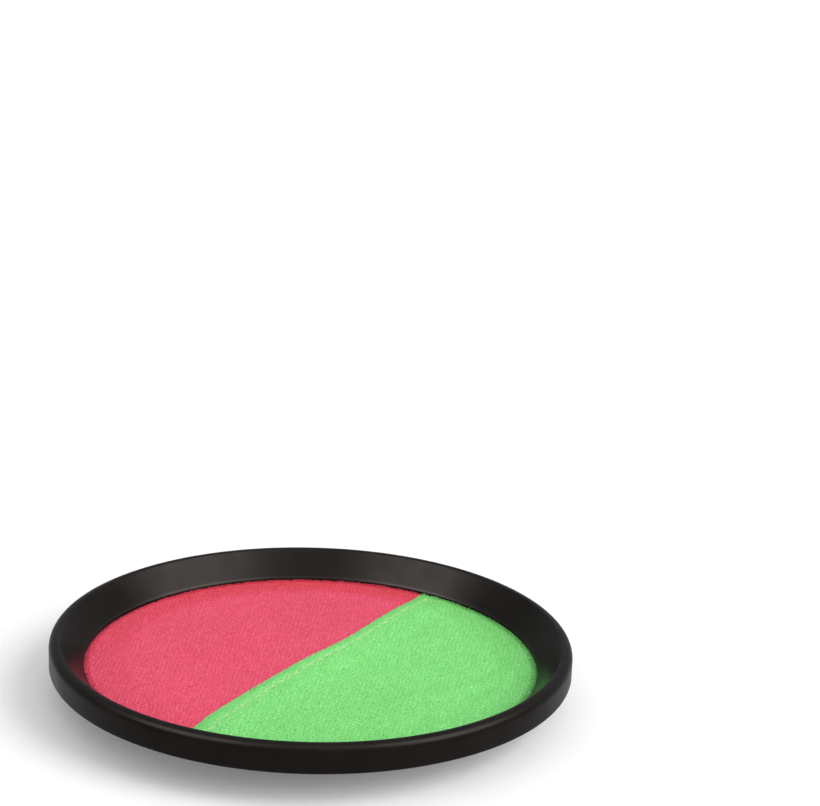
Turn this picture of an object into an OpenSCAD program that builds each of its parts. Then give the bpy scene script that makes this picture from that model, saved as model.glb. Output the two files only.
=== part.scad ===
// Round catch paddle: a two-colour loop-cloth face in a deep black rim, with an adjustable
// hand strap across its back. It lies face up on its two strap rails.
// Millimetres, +Z up out of the face, +Y along the seam of the cloth, +X along the strap.

/* [Catching face] */
// Diameter of the cloth that shows inside the rim
face_d = 165; // [150:1:200]
// Depth of the cloth's edge below the lip of the rim
face_drop = 10.5; // [9.5:0.5:14]
// Thickness of one layer of loop cloth
cloth_t = 0.9; // [0.6:0.1:1.4]
// How far the cloth runs in under the rim, where it is clamped
cloth_tuck = 2.2; // [1:0.1:2.6]
// Diameter of the foam pad under the cloth
foam_d = 144; // [130:1:148]
// Thickness of the foam pad
foam_t = 1.2; // [0.8:0.1:2]
// Distance past the foam's edge where the cloth starts to slope
foam_ease = 0.4; // [0.2:0.1:1]
// Width of the slope where the cloth comes down off the foam
foam_slope = 3.5; // [2:0.5:4.5]
// Width of the strip where the right panel lies over the left one
seam_lap = 9; // [6:0.5:14]
// Gap between a cloth panel's edge and what it lies beside
cloth_play = 0.2; // [0.1:0.1:0.5]
// Distance of the topstitch from the folded edge of the right panel
stitch_inset = 4.5; // [2.5:0.5:5]
// Length of one topstitch
stitch_l = 3.4; // [2:0.1:4]
// Distance from one topstitch to the next
stitch_pitch = 5; // [4.2:0.1:6]
// Thickness of the sewing thread
thread_d = 0.5; // [0.3:0.05:0.7]

/* [Rim] */
// Height of the outer wall, from its lower edge to the lip
rim_h = 10; // [8.5:0.5:11]
// How far the dished inner wall leans outwards from the cloth to the lip
wall_flare = 8; // [6:0.5:12]
// Wall thickness of the moulded rim
wall_t = 2; // [1.6:0.1:2.4]
// Rounding of the lip on its outer side
lip_outer_r = 3; // [2.4:0.1:4]
// Width of the flat on top of the lip
lip_flat = 0.3; // [0.1:0.1:2]
// Rounding of the lip on its inner side
lip_inner_r = 1.2; // [0.8:0.1:2]
// Height of the upright band at the foot of the inner wall
foot_band = 0.9; // [0.5:0.1:1.5]
// Rounding of the outer wall's lower edge
hem_r = 0.6; // [0.3:0.1:1]

/* [Back plate] */
// Height of the plate above the surface that the paddle lies on
recess_h = 9.6; // [8.5:0.1:13]
// Thickness of the plate
plate_t = 1.8; // [1.4:0.1:2.4]
// Rounding of the plate's lower edge
pan_edge_r = 0.9; // [0.4:0.1:1.2]
// Thickness of the flange that closes the rim from below
flange_t = 1.6; // [1.4:0.1:2.2]
// Gap between the flange and the inside of the outer wall
flange_play = 0.3; // [0.1:0.1:0.6]
// Gap between the plate's upright wall and the inner wall of the rim
pan_play = 0.5; // [0.3:0.1:1]
// Number of stiffening ribs around the plate
rib_count = 24; // [12:2:36]
// Thickness of a stiffening rib
rib_t = 1.4; // [1:0.1:2]
// Depth of a stiffening rib below the plate
rib_h = 1.8; // [1:0.1:2.5]
// Distance that the ribs stop short of the plate's edge
rib_clear = 7; // [2:0.5:10]
// Thickness of the curved rails that the paddle lies on
rail_t = 3; // [2:0.1:4]
// Half of the angle that each rail spans about the strap's direction
rail_half = 40; // [30:1:50]
// Rounding of a rail's lower edges
rail_r = 0.8; // [0.4:0.1:1.2]

/* [Screws] */
// Number of screws that hold the plate in the rim
screw_count = 6; // [4:1:10]
// Thread diameter of a screw
screw_d = 2.6; // [2:0.1:3]
// Head diameter of a screw
screw_head_d = 4.4; // [3.8:0.1:4.8]
// Height of the countersunk head
screw_head_h = 1.1; // [0.8:0.1:1.3]
// Length of the cross slot in a head
screw_slot_l = 2.6; // [2:0.1:3]
// Width of the cross slot
screw_slot_w = 0.6; // [0.4:0.1:0.8]
// Depth of the cross slot
screw_slot_deep = 0.7; // [0.4:0.1:0.9]
// Length of thread held in the rim
screw_grip = 3.6; // [2.5:0.1:4.2]
// Diameter of the screw bosses inside the rim
boss_d = 5.2; // [4.6:0.1:5.4]
// Gap around a screw
screw_play = 0.03; // [0.02:0.01:0.1]

/* [Strap] */
// Width of the webbing
strap_w = 38; // [30:1:45]
// Thickness of the webbing
strap_t = 1.1; // [0.8:0.1:1.4]
// Distance between the two strap pins
strap_span = 108; // [100:1:120]
// Length of webbing from a pin to the fold beside the closure
leg_l = 32; // [28:1:36]
// Length of the doubled webbing sewn around a pin
fold_l = 12; // [8:0.5:16]
// Height of the closed strap above the surface that the paddle lies on
strap_lift_off = 0.5; // [0.4:0.1:1.5]
// Distance of the strap's loop from the plate
loop_gap = 1.1; // [0.6:0.1:2]
// Distance from the middle of the paddle to the tip of the flap
flap_tip = 31; // [27:0.5:36]
// Corner rounding of the strap's tips
tip_r = 6; // [3:0.5:10]
// Length of the step from the fold down to the level of the flap
jog_l = 10; // [8:0.5:12]
// Distance from the end of that step to the line where the flap peels
peel_run = 1.5; // [1:0.5:3]
// Gap in the webbing at a fold
fold_play = 0.2; // [0.1:0.05:0.3]
// Width of the gap at the line where the flap peels
peel_gap = 0.9; // [0.8:0.1:1.2]

/* [Hook and loop closure] */
// Thickness of the hook patch on the flap
hook_t = 0.9; // [0.7:0.1:1.3]
// Thickness of the loop patch on the tongue
loop_t = 0.7; // [0.5:0.1:1.1]
// Gap between the two closed patches
closure_gap = 0.2; // [0.1:0.05:0.4]
// Width left bare along the edges of the webbing
patch_inset = 2; // [1:0.5:4]
// Distance of the hook patch from the line where the flap peels
hook_start = 1.8; // [1.5:0.1:4]
// Length of bare flap beyond the hook patch, for the fingers
grip_tab = 5; // [3:0.5:10]
// Distance of the loop patch from the fold of the tongue
loop_start = 1; // [0.8:0.1:3]
// Corner rounding of the patches
patch_r = 3; // [1:0.5:5]
// Distance of a patch's seam from its edge
patch_seam = 1.6; // [1.2:0.1:3]
// Length of one stitch in the strap
strap_stitch_l = 2; // [1.5:0.1:2.4]
// Distance from one stitch to the next in the strap
strap_pitch = 3; // [2.6:0.1:4]
// Height of the stitches above the webbing
strap_stitch_h = 0.3; // [0.15:0.05:0.35]

/* [Strap pins] */
// Diameter of a strap pin
pin_d = 3; // [2.4:0.1:3.6]
// Running gap of the strap's loop around its pin
pin_play = 0.08; // [0.04:0.01:0.1]
// Gap of a pin in its lugs
lug_fit = 0.02; // [0.01:0.01:0.05]
// Thickness of a lug
lug_t = 4; // [3:0.5:5]
// Radius of a lug around its pin
lug_r = 3.3; // [2.8:0.1:3.8]
// Gap between a lug and the edge of the strap
lug_play = 0.6; // [0.4:0.1:1.5]
// Gap between the lugs and the rail behind them
rail_gap = 0.5; // [0.2:0.1:2]

/* [Hidden] */
$fn = 96;

// Overlap that fuses two features of one piece
fuse = 0.4;
// Points on each rounded corner of a turned section
arc_steps = 8;

// The cloth's underside: on the foam in the middle, then down a slope to the plate
face_r = face_d / 2;
cloth_r = face_r + cloth_tuck;
foam_r = foam_d / 2;
slope_r = foam_r + foam_ease;
slope_end = slope_r + foam_slope;
plate_top = recess_h + plate_t;
foam_z = plate_top + foam_t;
function cloth_low(r) = plate_top + foam_t * max(0, min(1, (slope_end - r) / foam_slope));

// Levels from the clamped cloth up to the lip, then down to the lower edge of the rim
edge_z = cloth_low(face_r) + cloth_t;
lip_z = edge_z + face_drop;
stand_h = lip_z - rim_h;
flange_z = stand_h + flange_t;

// Radii of the rim, and the slope of its inner wall as a tangent to the lip's rounding
lip_in_r = face_r + wall_flare + lip_inner_r;
lip_out_r = lip_in_r + lip_flat;
rim_r = lip_out_r + lip_outer_r;
band_z = edge_z + foot_band;
rise = lip_z - lip_inner_r - band_z;
run = lip_in_r - face_r;
slope = atan2(rise, run) + asin(lip_inner_r / norm([run, rise]));
wall_across = wall_t / sin(slope);
function back_r(z) = face_r + wall_across + (z - band_z) / tan(slope);

// The plate's upright wall, and the circle of screws in the rim's hollow
pan_r = face_r + wall_across + pan_play;
pan_out_r = pan_r + plate_t;
flange_r = rim_r - wall_t - flange_play;
screw_ring_r = rim_r - wall_t - boss_d / 2 - flange_play / 2;

// Levels of the closed strap, from its flap up to its tongue
flap_z = strap_lift_off;
hook_z = flap_z + strap_t;
loop_z = hook_z + hook_t + closure_gap;
tongue_z = loop_z + loop_t;
flap_mid = flap_z + strap_t / 2;
fold_z = tongue_z + strap_t / 2;

// Places along the strap: the pins, the folds beside the closure and the line of the flap
pin_x = strap_span / 2;
pin_r = pin_d / 2;
bore_r = pin_r + pin_play;
loop_r = bore_r + strap_t;
pin_z = recess_h - loop_gap - loop_r;
leg_drop = asin((pin_z - fold_z) / leg_l);
fold_x = pin_x - leg_l * cos(leg_drop);
fold_r = strap_t / 2 + fold_play;
jog_x = fold_x - jog_l;
peel_x = jog_x - peel_run;
peel_r = norm([peel_gap, strap_t / 2]);

// Where the right half has stepped down clear of level z: the tongue and its patch end there
function clear_x(z) = fold_x
    - jog_l * (fold_z + strap_t / 2 + closure_gap - z) / (fold_z - flap_mid);
tongue_tip = clear_x(tongue_z);
loop_end = clear_x(loop_z);

// The lugs beside the strap, and the rail behind them
lug_y = strap_w / 2 + lug_play;
pin_l = 2 * (lug_y + lug_t);
rail_in_r = norm([pin_x + lug_r, lug_y + lug_t]) + rail_gap;

// Arc of a turned section about [x, z], from angle a to angle b
function arc(x, z, r, a, b) =
    [for (i = [0:arc_steps]) let (t = a + (b - a) * i / arc_steps) [x + r * cos(t), z + r * sin(t)]];

// Half of the section of a surface that lies at height z over the foam and the plate
function cloth_line(z) = [for (r = [0, slope_r, slope_end, cloth_r]) [r, cloth_low(r) + z]];

module turned(points) {
    rotate_extrude() polygon(points);
}

// A section in X and Z, drawn out to width w along Y
module across(w) {
    rotate([90, 0, 0]) translate([0, 0, -w / 2]) linear_extrude(w) children();
}

// A rectangle in plan from x0 to x1, centred on the strap
module band(x0, x1, w) {
    translate([min(x0, x1), -w / 2]) square([abs(x1 - x0), w]);
}

// A strip in plan, square at x0 and with rounded corners at x1
module strip(x0, x1, w, r) {
    near = x1 - sign(x1 - x0) * r;
    band(x0, near, w);
    band(x0, x1, w - 2 * r);
    for (s = [-1, 1]) translate([near, s * (w / 2 - r)]) circle(r);
}

// A patch in plan from x0 to x1 with all its corners rounded
module patch(x0, x1, w, r) {
    inwards = sign(x1 - x0) * r;
    strip(x0 + inwards, x1, w, r);
    strip(x1 - inwards, x0, w, r);
}

// One flat stitch along X
module stitch(l, w, h) {
    translate([-l / 2, -w / 2, 0]) cube([l, w, h]);
}

// A row of as many stitches as its length takes, about its middle and turned by angle
module stitch_row(middle, angle, length, l, pitch, w, h) {
    count = floor((length - l) / pitch) + 1;
    translate(middle) rotate(angle) for (i = [0:1:count - 1])
        translate([(i - (count - 1) / 2) * pitch, 0]) stitch(l, w, h);
}

// Stitches round a patch, along the four sides of its seam
module patch_seams(x0, x1) {
    a = min(x0, x1) + patch_seam;
    b = max(x0, x1) - patch_seam;
    y = strap_w / 2 - patch_inset - patch_seam;
    for (s = [-1, 1]) stitch_row([(a + b) / 2, s * y], 0, b - a, strap_stitch_l, strap_pitch,
        thread_d, strap_stitch_h);
    for (x = [a, b]) stitch_row([x, 0], 90, 2 * (y - strap_stitch_l), strap_stitch_l, strap_pitch,
        thread_d, strap_stitch_h);
}

module each_screw() {
    for (i = [0:screw_count - 1]) rotate(360 * (i + 0.5) / screw_count)
        translate([screw_ring_r, 0, 0]) children();
}

// Rim: outer wall, rounded lip and dished inner wall, with the screw bosses in its hollow
module rim_frame() {
    roof_z = lip_z - wall_t;
    skirt_in = rim_r - wall_t;
    section = concat(
        [[skirt_in, stand_h]],
        arc(rim_r - hem_r, stand_h + hem_r, hem_r, -90, 0),
        arc(lip_out_r, lip_z - lip_outer_r, lip_outer_r, 0, 90),
        arc(lip_in_r, lip_z - lip_inner_r, lip_inner_r, 90, slope + 90),
        [[face_r, band_z], [face_r, edge_z], [face_r + wall_across, edge_z]],
        [[face_r + wall_across, band_z], [back_r(roof_z), roof_z], [skirt_in, roof_z]]);
    hollow = [[back_r(flange_z) - wall_across / 2, flange_z], [skirt_in + fuse, flange_z],
        [skirt_in + fuse, roof_z + fuse], [back_r(roof_z) - wall_across / 2, roof_z + fuse]];
    color("#2b2826") difference() {
        union() {
            turned(section);
            intersection() {
                turned(hollow);
                each_screw() translate([0, 0, flange_z]) cylinder(d = boss_d, h = rim_h);
            }
        }
        each_screw() translate([0, 0, flange_z - fuse])
            cylinder(d = screw_d + 2 * screw_play, h = screw_grip + 2 * fuse);
    }
}

// Back plate: a shallow pan with a flange, ribs, two rails and the lugs of the strap pins
module back_plate() {
    section = concat(
        [[0, recess_h]],
        arc(pan_out_r - pan_edge_r, recess_h + pan_edge_r, pan_edge_r, -90, 0),
        [[pan_out_r, stand_h], [flange_r, stand_h], [flange_r, flange_z]],
        [[back_r(flange_z) + pan_play, flange_z], [pan_r, band_z], [pan_r, plate_top]],
        [[0, plate_top]]);
    rail = concat(
        arc(rail_in_r + rail_r, rail_r, rail_r, -180, -90),
        arc(rail_in_r + rail_t - rail_r, rail_r, rail_r, -90, 0),
        [[rail_in_r + rail_t, recess_h + fuse], [rail_in_r, recess_h + fuse]]);
    rib_in_r = rail_in_r + rail_t - fuse;
    color("#242220") difference() {
        union() {
            turned(section);
            for (turn = [0, 180]) rotate(turn - rail_half)
                rotate_extrude(angle = 2 * rail_half) polygon(rail);
            for (i = [0:rib_count - 1]) rotate(360 * (i + 0.5) / rib_count)
                translate([rib_in_r, -rib_t / 2, recess_h - rib_h])
                    cube([pan_out_r - rib_clear - rib_in_r, rib_t, rib_h + fuse]);
            for (side = [-1, 1], end = [-1, 1]) translate([side * pin_x, end * (lug_y + lug_t / 2), 0])
                across(lug_t) {
                    translate([0, pin_z]) circle(lug_r);
                    translate([-lug_r, pin_z]) square([2 * lug_r, recess_h + fuse - pin_z]);
                }
        }
        for (side = [-1, 1]) translate([side * pin_x, 0, pin_z])
            rotate([90, 0, 0]) cylinder(r = pin_r + lug_fit, h = pin_l + 2 * fuse, center = true);
        each_screw() {
            translate([0, 0, stand_h - fuse])
                cylinder(d = screw_d + 2 * screw_play, h = flange_t + 2 * fuse);
            translate([0, 0, stand_h]) cylinder(d1 = screw_head_d + 2 * screw_play,
                d2 = screw_d + 2 * screw_play, h = screw_head_h + screw_play);
        }
    }
}

// Countersunk self-tapping screws with a cross slot
module rim_screws() {
    color("#b5b3ad") each_screw() translate([0, 0, stand_h]) difference() {
        union() {
            cylinder(d1 = screw_head_d, d2 = screw_d, h = screw_head_h);
            cylinder(d = screw_d, h = flange_t + screw_grip);
        }
        for (turn = [0, 90]) rotate(turn) translate([-screw_slot_l / 2, -screw_slot_w / 2, -fuse])
            cube([screw_slot_l, screw_slot_w, screw_slot_deep + fuse]);
    }
}

// Foam pad that lifts the cloth off the plate
module foam_pad() {
    color("#e6e2d6") translate([0, 0, plate_top]) cylinder(r = foam_r, h = foam_t);
}

// One layer of cloth over the foam, or lying on that layer when z is its thickness
module cloth_layer(z, r) {
    intersection() {
        turned(concat(cloth_line(z), [for (i = [3:-1:0]) cloth_line(z + cloth_t)[i]]));
        cylinder(r = r, h = lip_z);
    }
}

// What lies from x0 to x1
module slab(x0, x1) {
    translate([x0, -rim_r, 0]) cube([x1 - x0, 2 * rim_r, lip_z + rim_h]);
}

// Left panel: it runs in under the folded edge of the right one
module pink_cloth() {
    color("#ec5070") intersection() {
        cloth_layer(0, cloth_r);
        slab(-rim_r, seam_lap);
    }
}

// Right panel: its folded edge lies on the left panel and steps down beside it
module green_cloth() {
    beside = seam_lap + cloth_play;
    color("#7ce57c") {
        intersection() {
            cloth_layer(0, cloth_r);
            slab(beside, rim_r);
        }
        intersection() {
            cloth_layer(cloth_t, face_r - cloth_play);
            slab(0, beside + cloth_t);
        }
    }
}

// Row of stitches that holds the folded edge down, over the foam and on the flat beyond its slope
module seam_topstitch() {
    top_end = sqrt(foam_r ^ 2 - stitch_inset ^ 2);
    low_end = sqrt((face_r - cloth_play) ^ 2 - stitch_inset ^ 2) - thread_d;
    color("#add68e") {
        translate([0, 0, foam_z + 2 * cloth_t]) stitch_row([stitch_inset, 0], 90, 2 * top_end,
            stitch_l, stitch_pitch, thread_d, thread_d);
        for (s = [-1, 1]) translate([0, 0, plate_top + 2 * cloth_t])
            stitch_row([stitch_inset, s * (slope_end + low_end) / 2], 90, low_end - slope_end,
                stitch_l, stitch_pitch, thread_d, thread_d);
    }
}

// Steel pin that carries one end of the strap
module strap_pin(side) {
    color("#a9a9a6") translate([side * pin_x, 0, pin_z])
        rotate([90, 0, 0]) cylinder(r = pin_r, h = pin_l, center = true);
}

module left_strap_pin() {
    strap_pin(-1);
}

module right_strap_pin() {
    strap_pin(1);
}

// Section of a strap leg: the sewn loop about the pin, the doubled end and the single run
module leg_section() {
    difference() {
        union() {
            circle(loop_r);
            translate([0, -strap_t]) square([fold_l, 2 * strap_t]);
            translate([0, -strap_t / 2]) square([leg_l, strap_t]);
            translate([leg_l, 0]) circle(strap_t / 2);
        }
        circle(bore_r);
    }
}

// Places its children on the left leg, with X running from the pin to the fold
module on_leg() {
    translate([-pin_x, 0, pin_z]) rotate([0, leg_drop, 0]) children();
}

module inner_strap_leg() {
    color("#1f1d1c") on_leg() across(strap_w) leg_section();
}

// Two rows of stitches across the doubled end, on its outer face
module inner_loop_stitching() {
    first = loop_r + thread_d;
    rows = [first, fold_l - thread_d * 2];
    y = strap_w / 2 - patch_inset;
    color("#4a4745") on_leg() translate([0, 0, -strap_t - strap_stitch_h])
        for (x = rows) stitch_row([x, 0], 90, 2 * y, strap_stitch_l, strap_pitch,
            thread_d, strap_stitch_h);
}

module outer_strap_leg() {
    mirror([1, 0, 0]) inner_strap_leg();
}

module outer_loop_stitching() {
    mirror([1, 0, 0]) inner_loop_stitching();
}

// Tongue: the end of the left half, which lies next to the hand
module inner_strap_tongue() {
    color("#1f1d1c") difference() {
        translate([0, 0, tongue_z]) linear_extrude(strap_t) strip(-fold_x, tongue_tip, strap_w, tip_r);
        translate([-fold_x, 0, fold_z]) rotate([90, 0, 0])
            cylinder(r = fold_r, h = strap_w + 2 * fuse, center = true);
    }
}

module loop_patch() {
    color("#2e2b29") translate([0, 0, loop_z]) linear_extrude(loop_t)
        patch(-fold_x + loop_start, loop_end, strap_w - 2 * patch_inset, patch_r);
}

module loop_patch_stitching() {
    color("#4a4745") translate([0, 0, tongue_z + strap_t])
        patch_seams(-fold_x + loop_start, loop_end);
}

// Bridge: the stretch of the right half that steps down from its fold to the flap
module outer_strap_bridge() {
    half = strap_t / 2;
    color("#1f1d1c") across(strap_w) difference() {
        union() {
            polygon([[fold_x, fold_z - half], [fold_x, fold_z + half], [jog_x, flap_mid + half],
                [peel_x, flap_mid + half], [peel_x, flap_mid - half], [jog_x, flap_mid - half]]);
            translate([peel_x, flap_mid]) circle(half);
        }
        translate([fold_x, fold_z]) circle(fold_r);
    }
}

// Flap: the end of the right half, which peels off the tongue
module outer_strap_flap() {
    color("#1f1d1c") difference() {
        translate([0, 0, flap_z]) linear_extrude(strap_t) strip(peel_x, -flap_tip, strap_w, tip_r);
        translate([peel_x, 0, flap_mid]) rotate([90, 0, 0])
            cylinder(r = peel_r, h = strap_w + 2 * fuse, center = true);
    }
}

module hook_patch() {
    color("#34302e") translate([0, 0, hook_z]) linear_extrude(hook_t)
        patch(peel_x - hook_start, -flap_tip + grip_tab, strap_w - 2 * patch_inset, patch_r);
}

module hook_patch_stitching() {
    color("#4a4745") translate([0, 0, flap_z - strap_stitch_h])
        patch_seams(peel_x - hook_start, -flap_tip + grip_tab);
}

rim_frame();
back_plate();
rim_screws();
foam_pad();
pink_cloth();
green_cloth();
seam_topstitch();
left_strap_pin();
right_strap_pin();
inner_strap_leg();
inner_loop_stitching();
inner_strap_tongue();
loop_patch();
loop_patch_stitching();
outer_strap_leg();
outer_loop_stitching();
outer_strap_bridge();
outer_strap_flap();
hook_patch();
hook_patch_stitching();
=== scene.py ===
# Round catch paddle with a two-colour loop-cloth face, a satin black rim and a hand strap.
# Sizes below are in millimetres, +Z is up out of the cloth and +Y runs along its seam.
import math

import bpy
import numpy as np
from mathutils import Matrix, Vector


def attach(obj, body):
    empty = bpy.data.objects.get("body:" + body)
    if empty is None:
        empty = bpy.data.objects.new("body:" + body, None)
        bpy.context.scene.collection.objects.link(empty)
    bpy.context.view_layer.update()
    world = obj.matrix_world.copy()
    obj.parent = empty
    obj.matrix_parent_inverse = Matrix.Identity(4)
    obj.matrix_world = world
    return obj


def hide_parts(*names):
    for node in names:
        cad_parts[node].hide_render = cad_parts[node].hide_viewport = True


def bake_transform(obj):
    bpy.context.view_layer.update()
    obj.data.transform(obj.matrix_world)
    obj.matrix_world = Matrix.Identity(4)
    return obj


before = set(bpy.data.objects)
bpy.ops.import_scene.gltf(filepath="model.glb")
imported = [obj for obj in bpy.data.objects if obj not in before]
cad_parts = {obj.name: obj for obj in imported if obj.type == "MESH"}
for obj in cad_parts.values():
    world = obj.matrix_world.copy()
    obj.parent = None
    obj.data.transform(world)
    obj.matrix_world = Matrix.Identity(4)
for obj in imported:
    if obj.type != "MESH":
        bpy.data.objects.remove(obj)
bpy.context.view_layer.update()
mm = 0.001
scene = bpy.context.scene
print("frame loaded:", len(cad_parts), "solids")


# working parts shared by the pieces

def ease(t):
    # 3t² - 2t³ between 0 and 1, flat outside
    t = np.clip(t, 0, 1)
    return t * t * (3 - 2 * t)


def softNoise(x, y, size, seed):
    # random heights on a square lattice of that size, eased from one to the next, -1 to 1
    heights = np.random.default_rng(seed).uniform(-1, 1, (256, 256))
    u, v = x / size, y / size
    i, j = np.floor(u).astype(int), np.floor(v).astype(int)
    a, b = ease(u - i), ease(v - j)
    i, j, k, m = i % 256, j % 256, (i + 1) % 256, (j + 1) % 256
    near = heights[i, j] * (1 - a) + heights[k, j] * a
    far = heights[i, m] * (1 - a) + heights[k, m] * a
    return near * (1 - b) + far * b


def gridFaces(rows, cols, closeRows=False, closeCols=False):
    # four corners of each cell of a rows x cols grid of points, wrapped round where asked
    i = np.arange(rows if closeRows else rows - 1)[:, None]
    j = np.arange(cols if closeCols else cols - 1)[None, :]
    k, m = (i + 1) % rows, (j + 1) % cols
    return np.stack([i * cols + j, k * cols + j, k * cols + m, i * cols + m], -1).reshape(-1, 4)


def tubeFaces(rows, cols):
    # faces of a tube of that many rings of points, closed by one face at each end
    ends = [list(range(cols))[::-1], list(range((rows - 1) * cols, rows * cols))]
    return gridFaces(rows, cols, False, True).tolist() + ends


def repeated(points, one, count):
    # the faces of one small shape, counted on for each of its copies
    start = (np.arange(count) * (len(points) // count)).tolist()
    return points, [[i + a for i in f] for a in start for f in one]


def stirredGrid(x, y, stir, random):
    # every x with every y, each place moved at random by up to stir
    x, y = (g.ravel() for g in np.meshgrid(x, y))
    x = x + random.uniform(-stir, stir, x.shape)
    return x, y + random.uniform(-stir, stir, x.shape)


def standing(x, y, z, turn, along, aside, rise):
    # copies of a small shape, each turned about Z and set at its x, y and z
    x, y, z, c, n = (a[:, None, None] for a in (x, y, z, np.cos(turn), np.sin(turn)))
    points = np.stack([x + along * c - aside * n, y + along * n + aside * c, z + rise + 0 * c], -1)
    return points.reshape(-1, 3)


def outwards(points, faces):
    # faces turned over where the volume that they enclose comes out negative
    fan = [(f[0], f[n], f[n + 1]) for f in faces for n in range(1, len(f) - 1)]
    a, b, c = points[np.array(fan)].transpose(1, 0, 2)
    if (a * np.cross(b, c)).sum() < 0:
        faces = [f[::-1] for f in faces]
    return faces


def smoothMesh(name, points, faces, finish):
    # a smoothly shaded object out of points in mm
    mesh = bpy.data.meshes.new(name)
    mesh.from_pydata((points * mm).tolist(), [], faces)
    mesh.polygons.foreach_set("use_smooth", np.ones(len(mesh.polygons), bool))
    mesh.materials.append(finish)
    piece = bpy.data.objects.new(name, mesh)
    scene.collection.objects.link(piece)
    return piece


def makePiece(name, shells, finish, body, slot, sharp, **values):
    # one mesh object out of closed shells of (points in mm, faces), with uv or values per point; edges
    # stay sharp above that angle, and a piece that bends between two bodies is given none here
    points, faces = [], []
    for shellPoints, shellFaces in shells:
        shellPoints = np.asarray(shellPoints, float).reshape(-1, 3)
        shift = sum(len(p) for p in points)
        facing = outwards(shellPoints, [list(f) for f in np.asarray(shellFaces, object)])
        faces += [[i + shift for i in f] for f in facing]
        points.append(shellPoints)
    piece = smoothMesh(name, np.concatenate(points), faces, finish)
    mesh = piece.data
    mesh.set_sharp_from_angle(angle=math.radians(sharp))
    corner = np.zeros(len(mesh.loops), np.int32)
    mesh.loops.foreach_get("vertex_index", corner)
    for key, value in values.items():
        value = np.asarray(value, float)
        if key == "uv":
            layer = mesh.uv_layers.new(name="along")
            layer.data.foreach_set("uv", value.reshape(-1, 2)[corner].ravel())
        else:
            layer = mesh.attributes.new(key, "FLOAT", "POINT")
            layer.data.foreach_set("value", value.ravel().astype(np.float32))
    if body:
        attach(piece, body)
    return piece


def put(tree, kind, inputs=(), out=0, **settings):
    # a shader node with its settings, its inputs set or joined; gives back one output
    node = tree.nodes.new("ShaderNode" + kind)
    for key, value in settings.items():
        setattr(node, key, value)
    for key, value in dict(inputs).items():
        if isinstance(value, bpy.types.NodeSocket):
            tree.links.new(value, node.inputs[key])
        else:
            node.inputs[key].default_value = value
    return node.outputs[out]


def ramp(tree, fac, *stops):
    # colour or grey stops of (place, colour) along fac
    node = tree.nodes.new("ShaderNodeValToRGB")
    tree.links.new(fac, node.inputs[0])
    elements = node.color_ramp.elements
    while len(elements) < len(stops):
        elements.new(0.5)
    for element, (place, colour) in zip(elements, stops):
        element.position = place
        element.color = (*colour, 1) if isinstance(colour, tuple) else (colour,) * 3 + (1,)
    return node.outputs[0]


def noise(tree, spot, scale, detail, rough=0.5):
    # cloudy noise at a place, finer with scale
    return put(tree, "TexNoise", {"Vector": spot, "Scale": scale, "Detail": detail, "Roughness": rough})


def remap(tree, value, start, end, way="LINEAR"):
    # value stretched from the range start to the range end, and held at its ends
    return put(tree, "MapRange", {"Value": value, "From Min": start[0], "From Max": start[1],
                                  "To Min": end[0], "To Max": end[1]}, interpolation_type=way)


def laidOver(tree, share, under, over, way="MIX"):
    # a share of one colour laid over another
    return put(tree, "Mix", {"Factor": share, "A": under, "B": over}, out=2, data_type="RGBA",
               blend_type=way)


def bump(tree, height, strength, distance):
    # a normal tilted by a height, whose full depth is in metres
    return put(tree, "Bump", {"Height": height, "Strength": strength, "Distance": distance})


def inMetres(lengths):
    # lengths in millimetres as shader sockets need them
    return [value * mm for value in lengths]


def startFinish(name, rough, fixed=(), onRun=False):
    # a principled surface with its constant sockets set, and the place on the piece or along its run
    material = bpy.data.materials.new(name)
    material.use_nodes = True
    surface = material.node_tree.nodes["Principled BSDF"]
    for key, value in {"Roughness": rough, **dict(fixed)}.items():
        surface.inputs[key].default_value = value
    tree = material.node_tree
    spot = put(tree, "UVMap", uv_map="along") if onRun else put(tree, "TexCoord", out=3)
    return material, tree, spot


def finished(material, paint, sockets=()):
    # colour and other outputs joined to the surface
    tree = material.node_tree
    for key, value in {"Base Color": paint, **dict(sockets)}.items():
        tree.links.new(value, tree.nodes["Principled BSDF"].inputs[key])
    return material


# camera, floor and light

cameraSet = {"place": (406.98, -612.57, 324.23), "azimuth": 31.102, "elevation": 16.101,
             "roll": 2.378, "lens": 95.0, "sensor": 36.0}


def aimCamera(s):
    # right and up axes from the azimuth and elevation, then turned by the roll
    a, e, r = (math.radians(s[k]) for k in ("azimuth", "elevation", "roll"))
    ahead = Vector((-math.sin(a) * math.cos(e), math.cos(a) * math.cos(e), -math.sin(e)))
    right = Vector((math.cos(a), math.sin(a), 0))
    up = right.cross(ahead)
    rolledRight = right * math.cos(r) + up * math.sin(r)
    rolledUp = up * math.cos(r) - right * math.sin(r)
    camera = bpy.data.objects.new("camera", bpy.data.cameras.new("camera"))
    camera.data.lens, camera.data.sensor_width = s["lens"], s["sensor"]
    camera.data.clip_start, camera.data.clip_end = 0.01, 50
    scene.collection.objects.link(camera)
    turn = Matrix((rolledRight, rolledUp, -ahead)).transposed().to_4x4()
    camera.matrix_world = Matrix.Translation(Vector(s["place"]) * mm) @ turn
    scene.camera = camera


aimCamera(cameraSet)

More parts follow.
